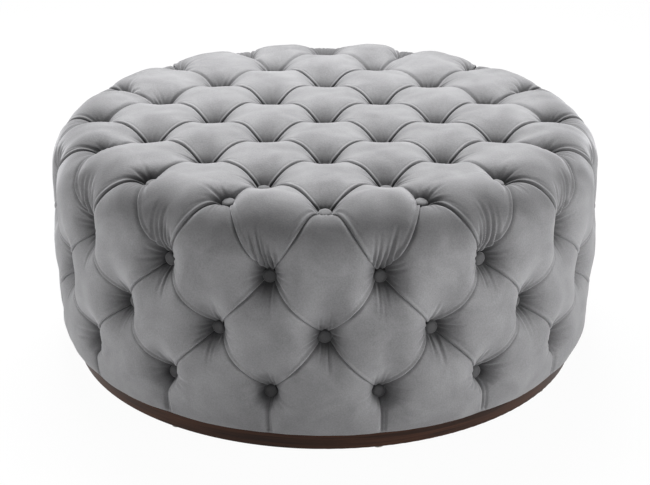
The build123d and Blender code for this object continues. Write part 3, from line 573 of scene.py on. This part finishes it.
def repeated(faces, count, size, first=0):
    """A grid's faces for count grids of size points, whose points follow one another from first on."""
    offsets = (np.arange(count) * size)[:, None, None] + first
    return (faces[None] + offsets).reshape(-1, 4)


def with_attribute(obj, name, values):
    """The same object, its points carrying a named value for its material to read."""
    attribute = obj.data.attributes.new(name, "FLOAT", "POINT")
    attribute.data.foreach_set("value", np.asarray(values, np.float32))
    return obj


def sewn(obj):
    """Points that fall together are made one, and every face is turned to point outwards."""
    work = bmesh.new()
    work.from_mesh(obj.data)
    bmesh.ops.remove_doubles(work, verts=work.verts, dist=merge_distance)
    bmesh.ops.dissolve_degenerate(work, dist=flat_face, edges=work.edges)
    bmesh.ops.recalc_face_normals(work, faces=work.faces)
    work.to_mesh(obj.data)
    work.free()
    return obj


patch_faces = grid_faces(steps, steps)
print("faces in a patch:", len(patch_faces))

# %% [markdown]
# At the hem the cover turns under the frame, so a last strip runs in and up from the bottom edge, out of
# sight above the plinth. It is one small profile, carried along each line of the hem.

# %% The turned-under hem
turn_in = np.array([0, 0.0008, 0.0022, 0.006, 0.016, 0.024, 0.050])
turn_down = np.array([0, 0.0009, 0.0013, 0.0012, 0.0004, -0.0002, -0.0002])
up, level_part = np.array([0, 0, 1.0]), np.array([1, 1, 0])
hem_starts = velvet_points[is_hem_corner & is_hem_line[:, 0], :, 0]
hem_ends = velvet_points[is_hem_corner & is_hem_line[:, 1], 0, :]
hem_lines = np.concatenate([hem_starts, hem_ends])
inward = -hem_lines * level_part / np.linalg.norm(hem_lines[..., :2], axis=-1, keepdims=True)
hem_points = hem_lines[:, :, None] + inward[:, :, None] * turn_in[:, None] - turn_down[:, None] * up
hem_faces = repeated(
    grid_faces(steps, len(turn_in)), len(hem_lines), steps * len(turn_in), first=velvet_points[..., 0].size)
print("hem strips:", len(hem_lines))

# %% [markdown]
# Shade is painted into the velvet's colour: dark down in the pocket round each button, and darker over the
# shoulder, where the pile is combed down and seen more from above. Each point carries a number for that
# painted shade, which the velvet's material reads: 0 at a button, 1 on a crown. On the side the painted
# shade is lighter at the corners above a button and at those just under the rim than at those below a
# button.

# %% The velvet mesh
# painted shade: how much lighter the painted pocket shade is at each kind of corner on the side
painted_shade_paling = {
    "head": 0.0, "rim_head": 0.0, "under_rim": 0.6, "side": 0.15, "foot": 0.45, "long_foot": 0.45,
    "hem": 1.0,
}
shoulder_shade_share = 0.45
# painted shade: dark in the pocket round each button
painted_pocket_shade = (1 - rise_a) * (1 - rise_b) * (1 - column(by_role(painted_shade_paling) * ~on_top_tuft))
# painted shade: darker over the shoulder
painted_shoulder_shade = 1 - shoulder_shade_share * np.sin(2 * tilt_at(velvet_run))
painted_shade_share = np.where(column(is_hem_corner), 1.0, 1 - painted_pocket_shade) * painted_shoulder_shade
all_points = np.concatenate([velvet_points.reshape(-1, 3), hem_points.reshape(-1, 3)])
all_faces = np.concatenate([repeated(patch_faces, patch_count, steps * steps), hem_faces])
all_painted_shades = np.concatenate([painted_shade_share.ravel(), np.ones(hem_points[..., 0].size)])
velvet = sewn(with_attribute(mesh_object("velvet", all_points, all_faces), "painted_shade", all_painted_shades))
print("velvet:", len(velvet.data.vertices), "points,", len(velvet.data.polygons), "faces")

# %% [markdown]
# A covered button is a metal shell with a scrap of the same velvet pulled round it: a low dome with a
# rounded edge. Each group is a profile turned about the button's own axis and set on every seat. Shade is
# painted on the buttons too, through the same number: the rim buttons are palest, those on top darker and
# those on the side rows darkest, and each dome darkens from its top down to its edge.

# %% Covered buttons
button_radius, button_rise, edge_power = 0.0115, 0.0078, 0.55
under_edge, over_edge = 0.32, 0.68
button_gap, edge_shade_power = 0.0004, 0.5
# painted shade for each group of buttons: darkest on the side rows, palest on the rim
button_painted_shades = {
    "top_buttons": 0.55, "rim_buttons": 0.75,
    "upper_row_buttons": 0.38, "middle_row_buttons": 0.38, "lower_row_buttons": 0.38,
}


def seat_frame(spot):
    """A seat's centre, and three directions there: round the drum, up the surface and straight out."""
    centre, out_of = seat_surface(np.array(spot[0]), np.array(spot[1]))
    round_it = np.array([cos(spot[0]), sin(spot[0]), 0.0])
    return centre, np.array([round_it, np.cross(out_of, round_it), out_of])


def button_shape(rings=14, sides=40):
    """A dome turned about z: its profile runs out underneath, round the edge and over to the middle.

    Over half a turn, its radius is a low power of the cosine, and its level follows the sine.
    """
    turn = np.linspace(-pi / 2, pi / 2, rings)
    swing = np.where(turn < 0, under_edge, over_edge) * np.sin(turn)
    radius = np.concatenate([[0.0], button_radius * np.cos(turn) ** edge_power])
    level = np.concatenate([[0.0], button_rise * (under_edge + swing)])
    radius[-1] = 0.0
    spin = np.linspace(0, 2 * pi, sides, endpoint=False)
    x, y = radius[:, None] * np.cos(spin), radius[:, None] * np.sin(spin)
    z = np.repeat(level[:, None], sides, 1)
    return np.stack([x, y, z], -1).reshape(-1, 3), grid_faces(len(radius), sides, closed=True)


def covered(name, spots):
    """One object for a group: the dome turned to each seat's directions and moved out to its place."""
    dome, dome_faces = button_shape()
    points = []
    for spot in spots:
        centre, axes = seat_frame(spot)
        points.append(centre + (button_gap + seat_lift(spot)) * axes[2] + dome @ axes)
    faces = repeated(dome_faces, len(spots), len(dome))
    obj = mesh_object("covered_" + name, np.concatenate(points), faces)
    # painted shade: darker from the top of each dome down to its edge
    painted_edge_shade = np.clip(dome[:, 2] / button_rise, 0, 1) ** edge_shade_power
    return sewn(with_attribute(obj, "painted_shade", np.tile(painted_edge_shade * button_painted_shades[name], len(spots))))


button_objects = {name: covered(name, spots) for name, spots in button_spots.items()}
print("button objects:", sorted(button_objects))

# %% [markdown]
# A finish is a Principled shader whose colour, roughness and relief come from noise on Object coordinates,
# so a pattern keeps its size and place on every piece. Cloth, wood and metal each have a node group, made
# once and set in every material with its own two colours. The group gives patterns only, and the shader
# with its plain values stays in the material.

# %% Helpers for patterns
def pattern_group(name):
    """A new node group that takes a Vector and two colours and gives Color, Roughness and Height."""
    group = bpy.data.node_groups.new(name, "ShaderNodeTree")
    for label, side, kind in (
            ("Vector", "INPUT", "Vector"), ("Dark", "INPUT", "Color"), ("Light", "INPUT", "Color"),
            ("Color", "OUTPUT", "Color"), ("Roughness", "OUTPUT", "Float"), ("Height", "OUTPUT", "Float")):
        group.interface.new_socket(label, in_out=side, socket_type="NodeSocket" + kind)
    return group, group.nodes.new("NodeGroupInput").outputs, group.nodes.new("NodeGroupOutput").inputs


def noise_on(tree, vector, scale, detail, distortion=0.0):
    """A noise texture that reads the given coordinates."""
    noise = tree.nodes.new("ShaderNodeTexNoise")
    for label, value in (("Scale", scale), ("Detail", detail), ("Distortion", distortion)):
        noise.inputs[label].default_value = value
    tree.links.new(vector, noise.inputs["Vector"])
    return noise.outputs["Fac"]


def remapped(tree, value, span, onto):
    """A value taken evenly from one range to another and held inside it."""
    node = tree.nodes.new("ShaderNodeMapRange")
    for label, number in zip(("From Min", "From Max", "To Min", "To Max"), (*span, *onto)):
        node.inputs[label].default_value = number
    tree.links.new(value, node.inputs["Value"])
    return node.outputs["Result"]


def mixed(tree, factor, one, two, blend="MIX"):
    """Two colours mixed by a factor, which may be a socket or a number."""
    node = tree.nodes.new("ShaderNodeMix")
    node.data_type, node.blend_type = "RGBA", blend
    colour_a, colour_b, result = node.inputs[6], node.inputs[7], node.outputs[2]  # after those for numbers
    if isinstance(factor, float):
        node.inputs["Factor"].default_value = factor
    else:
        tree.links.new(factor, node.inputs["Factor"])
    tree.links.new(one, colour_a)
    tree.links.new(two, colour_b)
    return result


def wire(tree, inputs, **values):
    """Each named value linked to the input of that name."""
    for label, value in values.items():
        tree.links.new(value, inputs[label])


print("helpers:", [made.__name__ for made in (pattern_group, noise_on, remapped, mixed, wire)])

# %% [markdown]
# Short pile is a fine speckle over faint large clouds, where the nap lies differently. Wood is noise
# stretched into long streaks, with fine dark pores along them. Handled metal and plastic differ only
# slightly in colour and gloss.

# %% Pattern groups
def cloth_pattern():
    """Short pile or fibre: its colour is a sum of speckle and clouds, its relief the speckle alone."""
    group, given, gives = pattern_group("cloth_pattern")
    speckle = noise_on(group, given["Vector"], scale=420, detail=3)
    clouds = noise_on(group, given["Vector"], scale=16, detail=3, distortion=0.6)
    total = group.nodes.new("ShaderNodeMath")
    group.links.new(remapped(group, speckle, (0.3, 0.7), onto=(0.0, 0.42)), total.inputs[0])
    group.links.new(remapped(group, clouds, (0.32, 0.68), onto=(0.0, 0.58)), total.inputs[1])
    color = mixed(group, total.outputs[0], given["Dark"], given["Light"])
    roughness = remapped(group, clouds, (0.3, 0.7), onto=(0.82, 0.95))
    wire(group, gives, Color=color, Roughness=roughness, Height=speckle)
    return group


def wood_pattern():
    """Wood grain: streaks mix the two colours, and pores darken half-way and make the relief."""
    group, given, gives = pattern_group("wood_pattern")
    streaks = noise_on(group, given["Vector"], scale=1.0, detail=5, distortion=0.9)
    pores = noise_on(group, given["Vector"], scale=5.0, detail=2)
    grain = mixed(group, remapped(group, streaks, (0.32, 0.68), onto=(0, 1)), given["Dark"], given["Light"])
    color = mixed(group, remapped(group, pores, (0.62, 0.72), onto=(0, 0.5)), grain, given["Dark"])
    roughness = remapped(group, streaks, (0.3, 0.7), onto=(0.34, 0.46))
    wire(group, gives, Color=color, Roughness=roughness, Height=pores)
    return group


def rubbed_pattern():
    """Handled metal or plastic: one noise mixes the colours and makes the gloss and relief uneven."""
    group, given, gives = pattern_group("rubbed_pattern")
    patches = noise_on(group, given["Vector"], scale=160, detail=5, distortion=0.5)
    color = mixed(group, remapped(group, patches, (0.3, 0.7), onto=(0, 1)), given["Dark"], given["Light"])
    roughness = remapped(group, patches, (0.3, 0.7), onto=(0.28, 0.5))
    wire(group, gives, Color=color, Roughness=roughness, Height=patches)
    return group


patterns = {"cloth": cloth_pattern(), "wood": wood_pattern(), "rubbed": rubbed_pattern()}
print("pattern groups:", sorted(patterns))

# %% [markdown]
# Velvet looks pale along its pile and dark where one looks straight down into it, which is what the sheen
# does. Shade is painted into the colour as well: down in the pockets and over the shoulder the colour is
# multiplied by a darker grey, which each point's painted-shade number chooses.

# %% Velvet finish
velvet_dark, velvet_light = (0.190, 0.189, 0.194), (0.318, 0.317, 0.324)
# painted shade: the grey that each painted-shade number gives, darkest in the pockets
painted_shade_greys = ((0.0, 0.13), (0.35, 0.34), (0.7, 0.82), (0.92, 1.0))


def new_material(name):
    """A node material, its tree and its Principled BSDF."""
    material = bpy.data.materials.new(name)
    material.use_nodes = True
    tree = material.node_tree
    return material, tree, tree.nodes["Principled BSDF"]


def painted_shade_grey(tree):
    """A painted shade: a grey from each point's painted-shade number, by a ramp through the painted shade
    greys.
    """
    attribute = tree.nodes.new("ShaderNodeAttribute")
    attribute.attribute_name = "painted_shade"
    ramp = tree.nodes.new("ShaderNodeValToRGB")
    stops = ramp.color_ramp.elements
    stops[1].position = painted_shade_greys[-1][0]
    for position, _ in painted_shade_greys[1:-1]:
        stops.new(position)
    for stop, (_, grey) in zip(stops, painted_shade_greys):
        stop.color = (grey, grey, grey, 1)
    tree.links.new(attribute.outputs["Fac"], ramp.inputs["Fac"])
    return ramp.outputs["Color"]


def finish(name, pattern, dark, light, stretch=(1, 1, 1), plain=None, bump=0.0002, shade=None):
    """A material from one pattern group: its two colours and how it is stretched.

    plain holds the shader's own values, bump is the relief in metres, and shade gives a colour to multiply,
    such as a painted shade.
    """
    material, tree, shader = new_material(name)
    coordinates = tree.nodes.new("ShaderNodeTexCoord")
    mapping = tree.nodes.new("ShaderNodeMapping")
    mapping.inputs["Scale"].default_value = stretch
    group = tree.nodes.new("ShaderNodeGroup")
    group.node_tree = patterns[pattern]
    group.inputs["Dark"].default_value, group.inputs["Light"].default_value = (*dark, 1), (*light, 1)
    relief = tree.nodes.new("ShaderNodeBump")
    relief.inputs["Distance"].default_value = bump
    wire(tree, mapping.inputs, Vector=coordinates.outputs["Object"])
    wire(tree, group.inputs, Vector=mapping.outputs["Vector"])
    wire(tree, relief.inputs, Height=group.outputs["Height"])
    wire(tree, shader.inputs, Normal=relief.outputs["Normal"], Roughness=group.outputs["Roughness"])
    color = group.outputs["Color"]
    if shade:
        color = mixed(tree, 1.0, color, shade(tree), "MULTIPLY")
    tree.links.new(color, shader.inputs["Base Color"])
    for label, value in (plain or {}).items():
        shader.inputs[label].default_value = value
    return material


velvet_values = {
    "Specular IOR Level": 0.10, "Sheen Weight": 0.6, "Sheen Roughness": 0.45,
    "Sheen Tint": (0.92, 0.92, 0.95, 1),
}
velvet_material = finish(
    "grey_velvet", "cloth", velvet_dark, velvet_light, plain=velvet_values, bump=0.0003, shade=painted_shade_grey)
for obj in [velvet, *button_objects.values()]:
    obj.data.materials.append(velvet_material)
print("velvet on", 1 + len(button_objects), "pieces")

# %% [markdown]
# The plinth is solid wood stained espresso brown, with its grain running level round the drum. The parts
# under and inside the drum are plywood, softwood, board, plated steel and cloth. Each CAD part takes the
# finish that the record names for it.

# %% Finishes of the frame
flat_grain, upright_grain, end_free, even = (5, 5, 150), (150, 150, 5), (14, 90, 90), (1, 1, 1)
metal = {"Metallic": 1.0}
frame_finishes = {  # pattern, dark and light colours, stretch and plain values
    "espresso_wood": (
        "wood", (0.017, 0.0076, 0.0048), (0.060, 0.026, 0.0155), flat_grain, {"Specular IOR Level": 0.14}),
    "plywood": ("wood", (0.42, 0.28, 0.15), (0.62, 0.46, 0.28), end_free),
    "frame_wood": ("wood", (0.48, 0.31, 0.16), (0.68, 0.50, 0.30), upright_grain),
    "bent_board": ("wood", (0.22, 0.12, 0.06), (0.34, 0.20, 0.11), flat_grain),
    "fibreboard": ("cloth", (0.14, 0.09, 0.05), (0.22, 0.15, 0.09)),
    "twine": ("cloth", (0.50, 0.44, 0.32), (0.68, 0.62, 0.50)),
    "black_cambric": ("cloth", (0.012, 0.012, 0.012), (0.030, 0.030, 0.031)),
    "button_metal": ("rubbed", (0.35, 0.35, 0.36), (0.55, 0.55, 0.56), even, metal),
    "screw_steel": ("rubbed", (0.42, 0.41, 0.38), (0.62, 0.61, 0.57), even, metal),
    "staple_steel": ("rubbed", (0.45, 0.45, 0.46), (0.66, 0.66, 0.67), even, metal),
    "nylon": ("rubbed", (0.30, 0.28, 0.25), (0.42, 0.40, 0.36)),
}
finishes = {name: finish(name, *values) for name, values in frame_finishes.items()}
slots = {part["node"]: part["material_slot"] for part in frame["record"]["subparts"]}
dressed = 0
for name, obj in nodes.items():
    if slots.get(name) in finishes:
        obj.data.materials.clear()
        obj.data.materials.append(finishes[slots[name]])
        dressed += 1
print("CAD parts with a finish:", dressed)

# %% [markdown]
# The table has one body, root, and every piece rides on it. The velvet stands in for the CAD cover and the
# stuffing that fills it out, and it is tightly padded. Each group of covered buttons stands in for its own
# plain solids.

# %% Join the frame
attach(velvet, "root")
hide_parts("velvet_cover", "wadding", "side_foam", "top_foam")
for name, obj in button_objects.items():
    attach(obj, "root")
    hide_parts(name)
print("pieces that ride on root:", 1 + len(button_objects))

# %% [markdown]
# The table stands on plain white. The floor glows white only for the rays that look at it, from the camera
# or by way of a reflection. For all other rays it stays a dull pale floor, so it throws no extra light on
# the table, and as the glow leaves a little of that floor, the table's shadow still shows.

# %% White floor
floor_reach, floor_white = 9.0, 0.96
floor_colour, floor_roughness = (0.8, 0.8, 0.8, 1), 0.9


def seen_rays(tree):
    """1 for rays that see the background: straight from the camera, in a reflection or through glass."""
    light_path = tree.nodes.new("ShaderNodeLightPath")
    total = light_path.outputs["Is Camera Ray"]
    for kind in ("Is Glossy Ray", "Is Transmission Ray"):
        add = tree.nodes.new("ShaderNodeMath")
        add.use_clamp = True
        tree.links.new(total, add.inputs[0])
        tree.links.new(light_path.outputs[kind], add.inputs[1])
        total = add.outputs[0]
    return total


floor_corners = floor_reach * np.array([[-1, -1, 0], [1, -1, 0], [1, 1, 0], [-1, 1, 0]])
floor = mesh_object("floor", floor_corners, np.array([[0, 1, 2, 3]]))
floor_material, tree, shader = new_material("white_floor")
shader.inputs["Base Color"].default_value = floor_colour
shader.inputs["Roughness"].default_value = floor_roughness
glow = tree.nodes.new("ShaderNodeEmission")
mix = tree.nodes.new("ShaderNodeMixShader")
share = tree.nodes.new("ShaderNodeMath")
share.operation = "MULTIPLY"
share.inputs[1].default_value = floor_white
tree.links.new(seen_rays(tree), share.inputs[0])
tree.links.new(share.outputs[0], mix.inputs["Fac"])
tree.links.new(shader.outputs[0], mix.inputs[1])
tree.links.new(glow.outputs[0], mix.inputs[2])
tree.links.new(mix.outputs[0], tree.nodes["Material Output"].inputs["Surface"])
floor.data.materials.append(floor_material)
print("floor: %.0f m across, %.0f%% white where it is seen" % (2 * floor_reach, 100 * floor_white))

# %% [markdown]
# The world does the same with its strength: 1, which is white, where it is seen, and only a faint fill as
# light on the table.

# %% White background
world_light, world_white = 0.07, 1.0
world = bpy.data.worlds.new("studio")
bpy.context.scene.world = world
world.use_nodes = True
tree = world.node_tree
background = tree.nodes["Background"]
background.inputs["Color"].default_value = (1, 1, 1, 1)
strength = remapped(tree, seen_rays(tree), (0, 1), onto=(world_light, world_white))
tree.links.new(strength, background.inputs["Strength"])
print("background: %.2f as light, %.0f where it is seen" % (world_light, world_white))

# %% [markdown]
# Four square softboxes of one size light the velvet. The strongest, above and behind, makes the top pale
# and the crowns bright. Two low ones at the sides shape the drum, and a faint one in front opens the
# shadows.

# %% Softboxes
softbox_size = 1.6


def softbox(name, place, target_level, power):
    """A square area lamp at a place, aimed at a level on the drum's axis."""
    lamp = bpy.data.lights.new(name, "AREA")
    lamp.shape, lamp.size, lamp.energy = "SQUARE", softbox_size, power
    obj = bpy.data.objects.new(name, lamp)
    bpy.context.scene.collection.objects.link(obj)
    obj.location = place
    toward = np.array([0, 0, target_level]) - np.array(place)
    obj.rotation_euler = Vector(toward).to_track_quat("-Z", "Y").to_euler()
    return obj


softboxes = [
    softbox("top_light", (-0.2, 1.4, 2.7), 0.2, 152),
    softbox("left_light", (-2.6, -0.6, 0.62), 0.25, 34),
    softbox("right_light", (2.4, -1.3, 0.62), 0.25, 52),
    softbox("front_light", (0.5, -3.2, 0.9), 0.2, 11),
]
print("softboxes:", len(softboxes), "with", sum(box.data.energy for box in softboxes), "W")

# %% [markdown]
# The camera stands straight in front and looks down by 23.4 degrees. Its focal length in pixels was fitted
# to the photo, and a lens of that length in widths of the picture gives the same perspective.

# %% Camera
camera_distance, camera_lift, look_level = 3.213, radians(23.4), 0.177
sensor_width, focal_pixels, photo_width = 36, 1710, 650
lens = bpy.data.cameras.new("camera")
lens.sensor_width, lens.lens = sensor_width, sensor_width * focal_pixels / photo_width
camera = bpy.data.objects.new("camera", lens)
bpy.context.scene.collection.objects.link(camera)
camera.location = (0, -camera_distance * cos(camera_lift), look_level + camera_distance * sin(camera_lift))
camera.rotation_euler = (pi / 2 - camera_lift, 0, 0)
bpy.context.scene.camera = camera
bpy.context.scene.view_settings.view_transform = "Standard"
print("lens: %.0f mm" % lens.lens)
